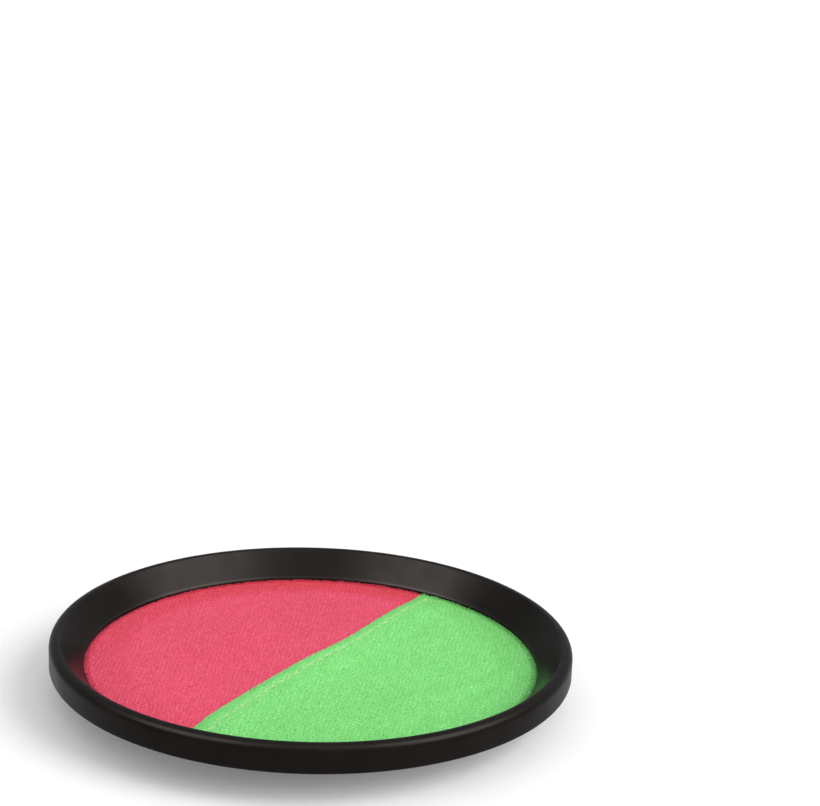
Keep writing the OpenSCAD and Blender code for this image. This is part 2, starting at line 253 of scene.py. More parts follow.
# each light: direction to it, width in degrees as seen from the paddle, power, and whether it is seen
# in the gloss alone or lights the surfaces alone
lightSet = {"key_light": ((0.794, 0.156, 0.588), 45.0, 2.15, "surface"),
            "front_light": ((0.60, -0.68, 0.42), 45.0, 0.9, "surface"),
            "right_strip": ((0.649, 0.211, 0.731), 44.0, 3.0, "gloss"),
            "left_strip": ((-0.359, -0.533, 0.766), 38.0, 2.3, "gloss"),
            "top_strip": ((0.11, -0.18, 0.98), 50.0, 0.5, "gloss")}
skySet = {"low": 0.36, "high": 0.68, "from": 0.3, "to": 0.95, "under": 0.25, "underFrom": -0.12}


def softLight(name, source, wide, power, part):
    # a broad even light from the direction of source
    data = bpy.data.lights.new(name, "SUN")
    data.energy, data.angle = power, math.radians(wide)
    lamp = bpy.data.objects.new(name, data)
    lamp.location = source
    lamp.rotation_euler = Vector(source).to_track_quat("Z", "Y").to_euler()
    lamp.visible_diffuse, lamp.visible_glossy = part == "surface", part == "gloss"
    scene.collection.objects.link(lamp)


for name, light in lightSet.items():
    softLight(name, *light)


def softSky(s):
    # white all round, dim near the floor, bright overhead, and as pale as the floor below it
    scene.world = bpy.data.worlds.new("studio")
    scene.world.use_nodes = True
    tree = scene.world.node_tree
    height = put(tree, "SeparateXYZ", {"Vector": put(tree, "TexCoord")}, out=2)
    power = remap(tree, height, (s["from"], s["to"]), (s["low"], s["high"]))
    below = remap(tree, height, (s["underFrom"], 0.0), (s["under"], 0.0))
    power = put(tree, "Math", {0: power, 1: below}, operation="ADD")
    sky = tree.nodes["Background"]
    sky.inputs["Color"].default_value = (1, 1, 1, 1)
    tree.links.new(power, sky.inputs["Strength"])


softSky(skySet)
scene.view_settings.view_transform = "Standard"

floorSet = {"size": 12000.0, "cells": 81, "flatR": 3200.0, "edgeR": 6000.0, "rise": 1000.0,
            "colour": 0.9, "glow": 0.12}


def layFloor(s):
    # a square grid, flat at height 0 and eased up far away into a cove, lit faintly like a light table
    line = np.linspace(-s["size"] / 2, s["size"] / 2, s["cells"])
    x, y = np.meshgrid(line, line, indexing="ij")
    glow = {"Emission Color": (1, 1, 1, 1), "Emission Strength": s["glow"]}
    material, tree, spot = startFinish("floor_paint", 0.8, glow)
    paint = ramp(tree, noise(tree, spot, 6.0, 3.0), (0.3, s["colour"] - 0.01), (0.7, s["colour"]))
    finished(material, paint)
    z = s["rise"] * ease((np.hypot(x, y) - s["flatR"]) / (s["edgeR"] - s["flatR"]))
    points = np.stack([x, y, z], -1).reshape(-1, 3)
    floor = smoothMesh("floor", points, gridFaces(s["cells"], s["cells"]).tolist(), material)
    # black gloss mirrors the evener sky in place of the floor
    floor.visible_glossy = False


layFloor(floorSet)
print("camera, light and floor set")


# rim

rimSet = {"faceR": 82.5, "rimR": 95.0, "lipZ": 22.8, "hemZ": 12.8, "footZ": 12.3, "bandZ": 13.2,
          "wall": 2.0, "hemRound": 0.6, "lipOuter": 3.0, "lipInner": 1.2, "lipFlat": 0.3,
          "footRound": 0.9, "toeRound": 0.15, "turns": 360, "paleFromZ": 21.2, "glossR": (83.9, 84.7),
          "bossRing": 90.25, "bossR": 2.6, "boreR": 1.33, "bossTurns": 24, "bossSunk": 0.5,
          "bossCap": 1.4, "flangeZ": 14.4, "screws": 6}


def arc(x, z, r, a, b, steps):
    # points on a circle about x, z from angle a to angle b in degrees
    t = np.radians(np.linspace(a, b, steps))
    return np.stack([x + r * np.cos(t), z + r * np.sin(t)], -1)


def lineTo(a, b, steps):
    # points from a to b, without the ends
    t = np.linspace(0, 1, steps + 2)[1:-1, None]
    return np.asarray(a) * (1 - t) + np.asarray(b) * t


def wallSlope(s):
    # the inner wall leans as the tangent from its foot to the lip's inner rounding
    inX = s["rimR"] - s["lipOuter"] - s["lipFlat"]
    run, rise = inX - s["faceR"], s["lipZ"] - s["lipInner"] - s["bandZ"]
    return inX, math.degrees(math.atan2(rise, run) + math.asin(s["lipInner"] / math.hypot(run, rise)))


def rimSection(s):
    # skirt, rounded lip, leaning inner wall, upright foot, and back round the inside of the shell
    inX, lean = wallSlope(s)
    inside, roof = s["rimR"] - s["wall"], s["lipZ"] - s["wall"]
    across = s["wall"] / math.sin(math.radians(lean))
    tan = math.tan(math.radians(lean))
    foot, rounding = s["faceR"], s["footRound"]
    backTop = foot + across + (roof - s["bandZ"]) / tan
    outer = arc(s["rimR"] - s["hemRound"], s["hemZ"] + s["hemRound"], s["hemRound"], -90, 0, 6)
    lip = arc(s["rimR"] - s["lipOuter"], s["lipZ"] - s["lipOuter"], s["lipOuter"], 0, 90, 18)
    lipIn = arc(inX, s["lipZ"] - s["lipInner"], s["lipInner"], 90, lean + 90, 10)
    reach = rounding * math.tan(math.radians((90 - lean) / 2))
    bend = arc(foot + rounding, s["bandZ"] - reach, rounding, 90 + lean, 180, 9)
    toe = arc(foot + s["toeRound"], s["footZ"] + s["toeRound"], s["toeRound"], 180, 270, 4)
    return np.concatenate([
        [[inside, s["hemZ"]]], outer, lineTo(outer[-1], lip[0], 5), lip, lipIn,
        lineTo(lipIn[-1], bend[0], 9), bend, toe,
        [[foot + across, s["footZ"]], [foot + across, s["bandZ"]], [backTop, roof], [inside, roof]]])


def turned(section, steps):
    # a closed section in r and z carried round the Z axis
    t = np.linspace(0, 2 * np.pi, steps, endpoint=False)[:, None]
    r, z = section[None, :, 0], section[None, :, 1]
    points = np.stack([r * np.cos(t), r * np.sin(t), z + 0 * t], -1)
    return points.reshape(-1, 3), gridFaces(steps, len(section), True, True)


def screwBosses(s):
    # tubes for the screws, whose tops follow the middle of the leaning wall
    lean = math.radians(wallSlope(s)[1])
    middle = s["faceR"] + s["wall"] / (2 * math.sin(lean))
    radii = [s["bossR"], s["bossR"], s["boreR"], s["boreR"]]
    isTop = np.array([False, True, True, False])[:, None]
    t = np.linspace(0, 2 * np.pi, s["bossTurns"], endpoint=False)
    x, y = s["bossRing"] + np.outer(radii, np.cos(t)), np.outer(radii, np.sin(t))
    top = s["bandZ"] + (np.hypot(x, y) - middle) * math.tan(lean) - s["bossSunk"]
    z = np.where(isTop, np.minimum(top, s["lipZ"] - s["bossCap"]), s["flangeZ"])
    shells = []
    for a in np.radians(360 * (np.arange(s["screws"]) + 0.5) / s["screws"]):
        points = np.stack([x * np.cos(a) - y * np.sin(a), x * np.sin(a) + y * np.cos(a), z], -1)
        shells.append((points, gridFaces(len(radii), s["bossTurns"], True, True)))
    return shells


def satinPlastic(name, dark, light, rough, grain, s=rimSet):
    # moulded black plastic: faint mottling, fine grain, paler in patches towards the top of the lip, and
    # a foot rubbed glossy
    material, tree, spot = startFinish(name, rough, {"Specular Tint": (1.0, 0.88, 0.81, 1)})
    tint = ramp(tree, noise(tree, spot, 55.0, 4.0), (0.3, dark), (0.72, light))
    height = put(tree, "SeparateXYZ", {"Vector": spot}, out=2)
    # paler in patches over the top band of the lip
    toLipTop = remap(tree, height, inMetres((s["paleFromZ"], s["lipZ"])), (0.0, 0.5))
    palePatches = ramp(tree, noise(tree, spot, 420.0, 5.0, 0.7), (0.5, 0.0), (0.75, 1.0))
    paleLipShare = put(tree, "Math", {0: toLipTop, 1: palePatches}, operation="MULTIPLY")
    pale = tuple(c * 2.2 + 0.006 for c in light)
    paint = laidOver(tree, paleLipShare, tint, (*pale, 1))
    gloss = remap(tree, noise(tree, spot, 90.0, 3.0), (0.3, 0.7), (rough - 0.05, rough + 0.06))
    reach = put(tree, "VectorMath", {0: spot}, out=1, operation="LENGTH")
    shine = remap(tree, reach, inMetres(s["glossR"]), (0.2, 0.11), "SMOOTHSTEP")
    normal = bump(tree, noise(tree, spot, grain, 2.0), 0.05, 0.0002)
    return finished(material, paint, {"Roughness": gloss, "Specular IOR Level": shine, "Normal": normal})


rimPlastic = satinPlastic("satin_rim_plastic", (0.0040, 0.0034, 0.0030), (0.0066, 0.0056, 0.0050),
                          0.33, 3400.0)
rim = makePiece("moulded_rim", [turned(rimSection(rimSet), rimSet["turns"])] + screwBosses(rimSet),
                rimPlastic, "paddle", "rim", sharp=60)
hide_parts("rim_frame")
print("rim made")


# cloth face

# the sheet, its overlap and fold, its bobbled nap, and where its colour deepens, partly as painted
# shade;
# brushShadeTurn is the side, in degrees, where the pile stands up and the painted shade is strongest
clothSet = {"edgeR": 84.7, "thick": 0.9, "cells": 420, "coarse": 6, "seamPull": 60.0,
            "onFoam": 13.5, "foamT": 1.2, "slopeR": 71.2, "slopeSoft": 1.5, "slope": 0.1057,
            "dip": 0.18, "dipR": 79.5, "dipEase": 3.0, "ripple": 1.6, "sagR": 76.0, "sagEase": 6.5,
            "lap": 8.6, "lapEase": 11.0, "lapRise": 0.82, "endRise": 0.2, "endR": 75.0, "endEase": 7.0,
            "lapGap": 0.03, "foldR": 0.41, "foldDrop": 0.35, "foldEase": 4.6, "hemIn": 0.2,
            "stitchY": 76.0, "stitchOff": 5.2, "stitchLean": 0.011, "stitchStray": 0.12,
            "groove": 0.18, "grooveWide": 0.6, "groovePast": 2.0, "puff": 0.1, "puffWide": 1.3,
            "napDeep": 0.19, "napR": 81.2, "napEase": 1.4, "rowTurn": (29.0, 24.0), "rowPitch": 1.5,
            "rowShift": 0.4, "rowBend": 0.2, "bobPitch": 2.1, "bobStray": 0.4, "bobLow": 0.57,
            "bobSwell": 0.43, "bobShare": 0.6, "yarnShare": 0.4, "yarnStretch": 0.5, "yarnSize": 1.05,
            "evenTone": 0.5, "foldShade": 0.22, "foldIn": 1.2, "foldWide": 1.3, "ringR": 69.5,
            "ringTone": 0.09, "ringWide": 1.8, "deepShadeR": (65.0, 76.0), "tuckShadeR": (81.6, 83.6),
            "brushShadeTurn": 112.0, "brushShadeReach": (-30.0, 70.0)}

# the folded edge's own line: how far it strays from straight at places along the seam
seamLine = {"along": (-90, -72, -64, -50, -34, -7, 8, 23, 34, 47, 59, 66, 71, 76, 80, 85, 90),
            "off": (2.0, 1.8, 0.4, -0.5, -1.05, -1.65, -0.8, 0.05, -0.5, -1.4, -1.55, -1.1, -0.55,
                    -1.5, -2.9, -4.2, -4.5), "tremble": 0.1, "mean": 77}

# broad waves of the cloth: height, size, seed
waves = ((0.12, 16.0, 21), (0.1, 37.0, 22))

# soft creases of the right half: middle x and y, direction in degrees, length, width, height
creases = ((63.0, 24.0, 75.0, 15.0, 4.4, 0.5), (70.0, 6.0, 100.0, 13.0, 4.2, 0.42),
           (55.0, 2.0, 62.0, 18.0, 5.5, 0.36), (66.0, -22.0, 118.0, 14.0, 4.8, 0.4),
           (46.0, 26.0, 40.0, 16.0, 6.0, 0.3))


def seamX(y, s=seamLine):
    # the fold's place at y: straight runs from point to point, rounded by a sliding mean over that many
    # fifths of a mm, with a slight tremble
    fine = np.linspace(-110, 110, 1101)
    kernel = np.hanning(s["mean"])
    kernel /= kernel.sum()
    padded = np.pad(np.interp(fine, s["along"], s["off"]), s["mean"] // 2, mode="edge")
    line = np.interp(y, fine, np.convolve(padded, kernel, mode="valid"))
    return line + s["tremble"] * softNoise(y, 0 * y, 5.0, 3)


def stitchX(y, s=clothSet):
    # the topstitch keeps about 5 mm off the fold, nearer at the far end
    return s["stitchOff"] - s["stitchLean"] * y + s["stitchStray"] * softNoise(y, 0 * y + 9, 9.0, 4)


def clothLevel(r, s=clothSet):
    # top of one layer: flat on the foam, a cone past its edge with a soft start, dipping in under
    # the rim
    past = r - s["slopeR"]
    fall = s["slope"] * (past + np.sqrt(past * past + s["slopeSoft"] ** 2)) / 2
    dip = s["dip"] * ease((r - s["dipR"]) / s["dipEase"])
    return s["onFoam"] - np.minimum(fall, s["foamT"]) - dip


def lapShare(d, s=clothSet):
    # 1 where the right half lies on the left one, eased to 0 beyond its edge; d is off the fold
    return 1 - ease((d - s["lap"]) / s["lapEase"])


def lapRise(r, s=clothSet):
    # height of the overlap, which the rim squeezes flat at its two ends
    return s["lapRise"] - (s["lapRise"] - s["endRise"]) * ease((r - s["endR"]) / s["endEase"])


def foldDrop(x, y, s=clothSet):
    # how far the overlap rounds off towards its fold, a share of its height
    return s["foldDrop"] * lapRise(np.hypot(x, y)) * (1 - ease((x - seamX(y)) / s["foldEase"]))


def napHeight(x, y, right, s=clothSet):
    # rows of small bobbles, each row shifted by rowShift of their pitch, bent by noise, with loose
    # yarn stretched along the rows, 0 to 1
    a = math.radians(s["rowTurn"][right])
    u = (x * math.cos(a) + y * math.sin(a)) / s["rowPitch"]
    u = u + s["rowBend"] * softNoise(x, y, 9.0, 11) + s["rowBend"] * softNoise(x, y, 3.2, 14)
    v = (y * math.cos(a) - x * math.sin(a)) / s["bobPitch"] + s["bobStray"] * softNoise(x, y, 4.0, 12)
    along = np.cos(2 * np.pi * (v + s["rowShift"] * np.round(u)))
    bob = (0.5 + 0.5 * np.cos(2 * np.pi * u)) * (s["bobLow"] + s["bobSwell"] * along)
    run = s["yarnStretch"] * v * s["bobPitch"]
    loose = 0.5 + 0.5 * softNoise(u * s["rowPitch"], run, s["yarnSize"], 13)
    return np.clip(s["bobShare"] * bob + s["yarnShare"] * loose, 0, 1)


def sag(x, y, s=clothSet):
    # broad unevenness of the stretched cloth, and the creases on the right half
    lift = sum(high * softNoise(x, y, size, seed) for high, size, seed in waves)
    for cx, cy, turn, length, width, height in creases:
        a = math.radians(turn)
        p = (x - cx) * math.cos(a) + (y - cy) * math.sin(a)
        q = (y - cy) * math.cos(a) - (x - cx) * math.sin(a)
        swell = height * np.exp(-(p / length) ** 2 - (q / width) ** 2)
        lift = lift + swell * np.cos(q / width * s["ripple"])
    return lift * (1 - ease((np.hypot(x, y) - s["sagR"]) / s["sagEase"]))


def faceTop(x, y, right, s=clothSet):
    # height of the cloth's top without its nap; the right half rides up on the left one
    r = np.hypot(x, y)
    top = clothLevel(r) + sag(x, y)
    if right:
        d, row = x - seamX(y), stitchX(y)
        top = top + lapRise(r) * lapShare(d) - foldDrop(x, y)
        groove = np.exp(-((d - row) / s["grooveWide"]) ** 2)
        groove = groove * (np.abs(y) < s["stitchY"] + s["groovePast"])
        puff = np.exp(-((d - 0.5 * row) / s["puffWide"]) ** 2)
        top = top - s["groove"] * groove + s["puff"] * puff
    return top


def clothHalf(right, s=clothSet):
    # a square grid pressed into half of a disc: x is u times the root of 1 - v²/2, and y the other
    # way round
    half, k = s["cells"] // 2, s["coarse"]
    v = np.linspace(-1, 1, s["cells"] + 1)
    nose = k if right else 0
    start = s["foldR"] if right else -s["lap"]
    u = np.linspace(start, s["edgeR"], half + 1 - nose) / s["edgeR"]
    u = np.concatenate([np.full(nose, u[0]), u])
    u, v = np.meshgrid(u, v, indexing="ij")
    side = 1 if right else -1
    x = side * s["edgeR"] * u * np.sqrt(1 - v * v / 2)
    y = s["edgeR"] * v * np.sqrt(1 - u * u / 2)
    x = x + seamX(y) * (1 - ease(np.abs(x) / s["seamPull"]))
    r = np.hypot(x, y)
    shown = 1 - ease((r - s["napR"]) / s["napEase"])
    top = faceTop(x, y, right)
    nap = napHeight(x, y, right)
    z = top + s["napDeep"] * (nap - 0.5) * shown
    lapped = lapShare(x - seamX(y)) if right else 0
    thick = s["thick"] - (s["thick"] - lapRise(r) + s["lapGap"]) * lapped
    bottom = (top + (foldDrop(x, y) if right else 0) - thick)[::k, ::k]
    if right:
        # the fold's nose: half a circle from the lower face up to the top
        turn = np.radians(np.linspace(-90, 90, nose + 1)[:, None])
        noseR = (lapRise(r[nose]) - foldDrop(x[nose], y[nose])) / 2
        x[:nose + 1] = x[nose] - noseR * np.cos(turn)
        napped = (z[nose] - top[nose]) * ease(np.sin(turn))
        z[:nose + 1] = top[nose] - noseR + noseR * np.sin(turn) + napped
        bottom[0] = z[0, ::k]
    low = np.stack([x[::k, ::k], y[::k, ::k], bottom], -1)
    # the nap value is lowered in a narrow ring over the foam's edge, which darkens the colour there
    nap = nap - s["ringTone"] * np.exp(-((r - s["ringR"]) / s["ringWide"]) ** 2)
    if right:
        low[0, :, 0] = x[nose, ::k] + s["hemIn"]
        # painted shade along the fold, where the cloth rolls down and faces away from the light
        nap = nap - s["foldShade"] * np.exp(-((x - seamX(y) - s["foldIn"]) / s["foldWide"]) ** 2)
    return np.stack([x, y, z], -1), low, nap


def closeSheet(top, low, k):
    # fine upper grid, coarse lower grid, and a wall of one many-sided face for each coarse edge
    n, m = top.shape[:2]
    cn, cm = low.shape[:2]
    upper, base = np.arange(n * m).reshape(n, m), n * m + np.arange(cn * cm).reshape(cn, cm)
    faces = gridFaces(n, m).tolist() + (n * m + gridFaces(cn, cm)[:, ::-1]).tolist()
    rims = ((upper[0], base[0], 1), (upper[-1], base[-1], -1),
            (upper[:, 0], base[:, 0], -1), (upper[:, -1], base[:, -1], 1))
    for fine, coarse, way in rims:
        for c in range(len(coarse) - 1):
            wall = fine[c * k:(c + 1) * k + 1].tolist() + [coarse[c + 1], coarse[c]]
            faces.append([int(i) for i in wall[::way]])
    points = np.concatenate([top.reshape(-1, 3), low.reshape(-1, 3)])
    return points, faces


def loopCloth(name, deep, main, light, edge, turn, seed, s=clothSet):
    # napped loop cloth with a soft sheen: painted shade between the bobbles and painted light on their
    # tops, with random pale flecks; colour that deepens towards the rim, partly its own and partly
    # painted shade, most on the side where the pile stands up; and speckled painted shade where it tucks
    # in
    material, tree, spot = startFinish(name, 0.88, {
        "Sheen Weight": 0.18, "Sheen Roughness": 0.5, "Sheen Tint": (*light, 1),
        "Specular IOR Level": 0.15})
    shift = put(tree, "Mapping", {"Vector": spot, "Location": (seed, seed * 0.7, 0),
                                  "Rotation": (0, 0, math.radians(turn)),
                                  "Scale": (1, 1.7, 1)}, vector_type="TEXTURE")
    nap = put(tree, "Attribute", out=2, attribute_name="nap")
    flecks = noise(tree, shift, 1600.0, 2.0)
    # painted shade between the bobbles and painted light on their tops, set by the nap height and mixed
    # with random pale flecks
    both = put(tree, "Mix", {"Factor": 0.45, "A": nap, "B": flecks})
    napShadeTone = ramp(tree, both, (0.28, deep), (0.41, main), (0.51, main), (0.66, light))
    veil = ramp(tree, noise(tree, shift, 34.0, 3.0), (0.3, 0.94), (0.7, 1.0))
    even = laidOver(tree, 1.0, napShadeTone, veil, "MULTIPLY")
    reach = put(tree, "VectorMath", {0: spot}, out=1, operation="LENGTH")
    # the colour deepens towards the rim, partly the cloth's own colour and partly painted shade, most on
    # the side that brushShadeTurn gives, where the painted shade is strongest
    near = remap(tree, reach, inMetres(s["deepShadeR"]), (0.0, 1.0), "SMOOTHSTEP")
    lean = math.radians(s["brushShadeTurn"])
    across = put(tree, "VectorMath", {0: spot, 1: (math.cos(lean), math.sin(lean), 0)}, out=1,
                 operation="DOT_PRODUCT")
    brushAndShade = remap(tree, across, inMetres(s["brushShadeReach"]), (0.12, 0.95))
    depth = put(tree, "Math", {0: near, 1: brushAndShade}, operation="MULTIPLY")
    share = [e / m for e, m in zip(edge, main)]
    deepAndShaded = laidOver(tree, depth, even, (*share, 1), "MULTIPLY")
    # painted shade where the cloth tucks in under the rim's foot, speckled by the flecks, towards a dark
    # shade of the rim colour
    tuckShade = remap(tree, reach, inMetres(s["tuckShadeR"]), (0.0, 1.0), "SMOOTHSTEP")
    shadeSpeckle = remap(tree, flecks, (0.38, 0.62), (0.75, 0.2))
    shade = put(tree, "Math", {0: tuckShade, 1: shadeSpeckle}, operation="MULTIPLY")
    ground = tuple(c * 0.4 for c in edge)
    paint = laidOver(tree, shade, deepAndShaded, (*ground, 1))
    normal = bump(tree, noise(tree, shift, 2300.0, 3.0), 0.3, 0.0003)
    return finished(material, paint, {"Normal": normal})


# each half: painted shade between its bobbles, its main colour, painted light on its bobbles, and its
# colour along the rim, which is partly painted shade
clothColours = {"pink": ((0.728, 0.067, 0.124), (0.79, 0.088, 0.160), (0.87, 0.15, 0.245),
                         (0.75, 0.058, 0.090)),
                "green": ((0.187, 0.65, 0.167), (0.230, 0.725, 0.210), (0.335, 0.835, 0.315),
                          (0.20, 0.64, 0.165))}
finishes = {colour: loopCloth(colour + "_loop_cloth", *clothColours[colour], turn, seed)
            for colour, turn, seed in zip(("pink", "green"), clothSet["rowTurn"], (0.3, 1.1))}
for colour in ("pink", "green"):
    top, low, nap = clothHalf(colour == "green")
    points, faces = closeSheet(top, low, clothSet["coarse"])
    nap = np.concatenate([nap.ravel(), np.full(low[..., 0].size, clothSet["evenTone"])])
    makePiece(colour + "_face_cloth", [(points, faces)], finishes[colour], "paddle",
                               colour + "_loop", sharp=80, nap=nap)
    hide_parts(colour + "_cloth")
    print(colour, "cloth made,", len(faces), "faces")

napSet = {"span": 82.0, "pitch": 1.42, "stir": 0.6, "wide": (0.7, 1.05), "high": (0.22, 0.36),
          "thread": 0.075, "rings": 5, "turnSpread": 0.45, "leanSpread": 0.16, "sunk": 0.08,
          "reach": 82.1, "offFold": 0.9, "offStitch": 0.7, "offLap": 0.4, "edgeCount": 2600,
          "edgeR": (80.3, 81.9), "highR": 80.0, "threadR": 79.5, "rimEase": 1.5, "rimHigh": 0.3,
          "rimThread": 0.6, "brushHigh": 1.5, "brushFrom": 0.2, "brushEase": 0.5}


def loopTufts(right, s=napSet):
    # small arches of thread on a jittered grid: a half circle, stretched, leaning, and three-sided
    random = np.random.default_rng(77 if right else 78)
    line = np.arange(-s["span"], s["span"], s["pitch"])
    x, y = stirredGrid(line, line, s["stir"], random)
    # a thicker fringe of them along the rim
    turn = random.uniform(0, 2 * np.pi, s["edgeCount"])
    r = random.uniform(*s["edgeR"], s["edgeCount"])
    x, y = np.concatenate([x, r * np.cos(turn)]), np.concatenate([y, r * np.sin(turn)])
    d = x - seamX(y)
    clear = d < -s["offLap"]
    if right:
        clear = (d > s["offFold"]) & (np.abs(d - stitchX(y)) > s["offStitch"])
    keep = clear & (np.hypot(x, y) < s["reach"])
    x, y = x[keep], y[keep]
    r, count = np.hypot(x, y), len(x)
    turn = np.radians(clothSet["rowTurn"][right] + 90) + random.normal(0, s["turnSpread"], count)
    wide, high = random.uniform(*s["wide"], count) / 2, random.uniform(*s["high"], count)
    # taller at the rim, most where they are brushed up
    facing = np.cos(np.arctan2(y, x) - math.radians(clothSet["brushShadeTurn"]))
    taller = s["rimHigh"] + s["brushHigh"] * ease((facing - s["brushFrom"]) / s["brushEase"])
    high = high * (1 + taller * ease((r - s["highR"]) / s["rimEase"]))
    thread = s["thread"] * (1 + s["rimThread"] * ease((r - s["threadR"]) / s["rimEase"]))
    lean = random.normal(0, s["leanSpread"], count)
    ground = faceTop(x, y, right) + clothSet["napDeep"] * (napHeight(x, y, right) - 0.5) - s["sunk"]
    wide, high, thread, lean = (a[:, None, None] for a in (wide, high, thread, lean))
    t = np.linspace(0, np.pi, s["rings"])[None, :, None]
    q = np.radians([90, 210, 330])[None, None, :]
    along = -np.cos(t) * wide - thread * np.cos(t) * np.sin(q)
    rise = np.sin(t) * high + thread * np.sin(t) * np.sin(q)
    aside = thread * np.cos(q) + lean * np.sin(t)
    points = standing(x, y, ground, turn, along, aside, rise)
    return repeated(points, tubeFaces(s["rings"], q.size), count)


for colour in ("pink", "green"):
    points, faces = loopTufts(colour == "green")
    tufts = makePiece(colour + "_nap_loops", [(points, faces)], finishes[colour], "paddle",
                      colour + "_loop", sharp=180, nap=np.full(len(points), clothSet["evenTone"]))
    print(colour, "nap made,", len(faces), "faces")


# foam under the cloth

foamSet = {"r": 71.9, "low": 11.42, "high": 12.52, "round": 0.5, "turns": 180,
           "rings": (0.5, 12.0, 24.0, 36.0, 48.0, 60.0), "pit": 0.05, "pitSize": 2.5, "skin": 0.2}


def foamSection(s):
    # half of a flat disc with rounded edges, from the middle of its underside to the middle of its top
    low = arc(s["r"] - s["round"], s["low"] + s["round"], s["round"], -90, 0, 5)
    high = arc(s["r"] - s["round"], s["high"] - s["round"], s["round"], 0, 90, 5)
    inner = np.array(s["rings"])
    return np.concatenate([np.stack([inner, 0 * inner + s["low"]], -1), low, high,
                           np.stack([inner[::-1], 0 * inner + s["high"]], -1)])


def foamShell(s):
    # the section turned, its two small middle rings closed by one face each
    section = foamSection(s)
    points, _ = turned(section, s["turns"])
    n = len(section)
    x, y, z = points.T
    z += np.where(z > s["high"] - s["skin"], s["pit"] * softNoise(x, y, s["pitSize"], 31), 0)
    faces = gridFaces(s["turns"], n, True, False).tolist()
    ring = np.arange(s["turns"]) * n
    return points, faces + [ring.tolist(), (ring + n - 1)[::-1].tolist()]


def openFoam():
    # pale cell foam: fine sunk pores, darkened as painted shade
    material, tree, spot = startFinish("open_cell_foam", 0.95, {"Specular IOR Level": 0.1})
    cells = put(tree, "TexVoronoi", {"Vector": spot, "Scale": 1300.0})
    # painted shade in the pores
    paint = ramp(tree, cells, (0.0, (0.48, 0.46, 0.40)), (0.45, (0.76, 0.73, 0.65)))
    return finished(material, paint, {"Normal": bump(tree, cells, 0.6, 0.0003)})


foam = makePiece("foam_disc", [foamShell(foamSet)], openFoam(), "paddle", "foam", sharp=70)
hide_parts("foam_pad")
print("foam made")


# stitches

stitchSet = {"rings": 9, "sides": 6, "tip": 0.02, "arch": 0.35}


def spindles(centres, ways, ups, length, width, high, s=stitchSet):
    # thread stitches: a round section that swells from its two ends to the middle, flattened by high
    centres, ways, ups = (np.asarray(a, float) for a in (centres, ways, ups))
    sides = np.cross(ups, ways)
    length = np.broadcast_to(length, len(centres))[:, None, None]
    t = np.linspace(-1, 1, s["rings"])
    q = np.linspace(0, 2 * np.pi, s["sides"], endpoint=False)
    swell = np.sqrt(np.clip(1 - np.abs(t) ** 3, s["tip"], 1))
    along = t[:, None] * length / 2 + 0 * q
    across = swell[:, None] * np.cos(q) * width / 2
    arch = (1 - np.abs(t) ** 2.2) * high * s["arch"]
    rise = swell[:, None] * np.sin(q) * high / 2 + arch[:, None]
    points = centres[:, None, None] + along[..., None] * ways[:, None, None] \
        + across[..., None] * sides[:, None, None] + rise[..., None] * ups[:, None, None]
    return repeated(points.reshape(-1, 3), tubeFaces(s["rings"], s["sides"]), len(centres))


def sewingThread(name, dark, light):
    # twisted thread: fine slanting bands over its colour, which is paler on some stitches
    material, tree, spot = startFinish(name, 0.62, {"Sheen Weight": 0.2, "Specular IOR Level": 0.3})
    slant = put(tree, "Mapping", {"Vector": spot, "Rotation": (0.4, 0.3, 0.7)})
    twist = put(tree, "TexWave", {"Vector": slant, "Scale": 900.0, "Distortion": 1.5, "Detail": 2.0})
    patch = noise(tree, spot, 190.0, 1.0)
    both = put(tree, "Mix", {"Factor": 0.65, "A": twist, "B": patch})
    paint = ramp(tree, both, (0.35, dark), (0.66, light))
    return finished(material, paint, {"Normal": bump(tree, twist, 0.5, 0.0002)})


seamStitch = {"length": 3.4, "pitch": 5.0, "width": 1.15, "high": 0.45, "slant": 7.0,
              "unevenTurn": 8.0, "unevenLength": 0.14, "unevenRow": 0.28}


def faceStitches(s):
    # a row down the right half beside its fold, each stitch lying on the cloth at its place
    reach = clothSet["stitchY"]
    y = np.arange(-reach, reach + 0.1, s["pitch"])
    random = np.random.default_rng(41)
    length = s["length"] * (1 + random.uniform(-1, 1, len(y)) * s["unevenLength"])
    stray = random.uniform(-1, 1, len(y)) * s["unevenRow"]
    ends = []
    for way in (-0.5, 0.5):
        end = y + way * length
        x = seamX(end) + stitchX(end) + stray
        ends.append(np.stack([x, end, faceTop(x, end, True)], -1))
    middle, ways = (ends[0] + ends[1]) / 2, ends[1] - ends[0]
    ways /= np.linalg.norm(ways, axis=1)[:, None]
    a = np.radians(s["slant"] + random.uniform(-1, 1, len(y)) * s["unevenTurn"])[:, None]
    ways = ways * np.cos(a) + np.cross(ways, [0, 0, 1.0]) * np.sin(a)
    ups = np.cross(np.cross(ways, [0, 0, 1.0]), ways)
    return spindles(middle, ways, ups, length, s["width"], s["high"])


paleThread = sewingThread("pale_sewing_thread", (0.28, 0.60, 0.20), (0.50, 0.75, 0.32))
topstitch = makePiece("seam_topstitches", [faceStitches(seamStitch)], paleThread, "paddle",
                      "seam_thread", sharp=180)
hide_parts("seam_topstitch")
print("topstitch made")


# plate, screws and pins, which keep their own solids

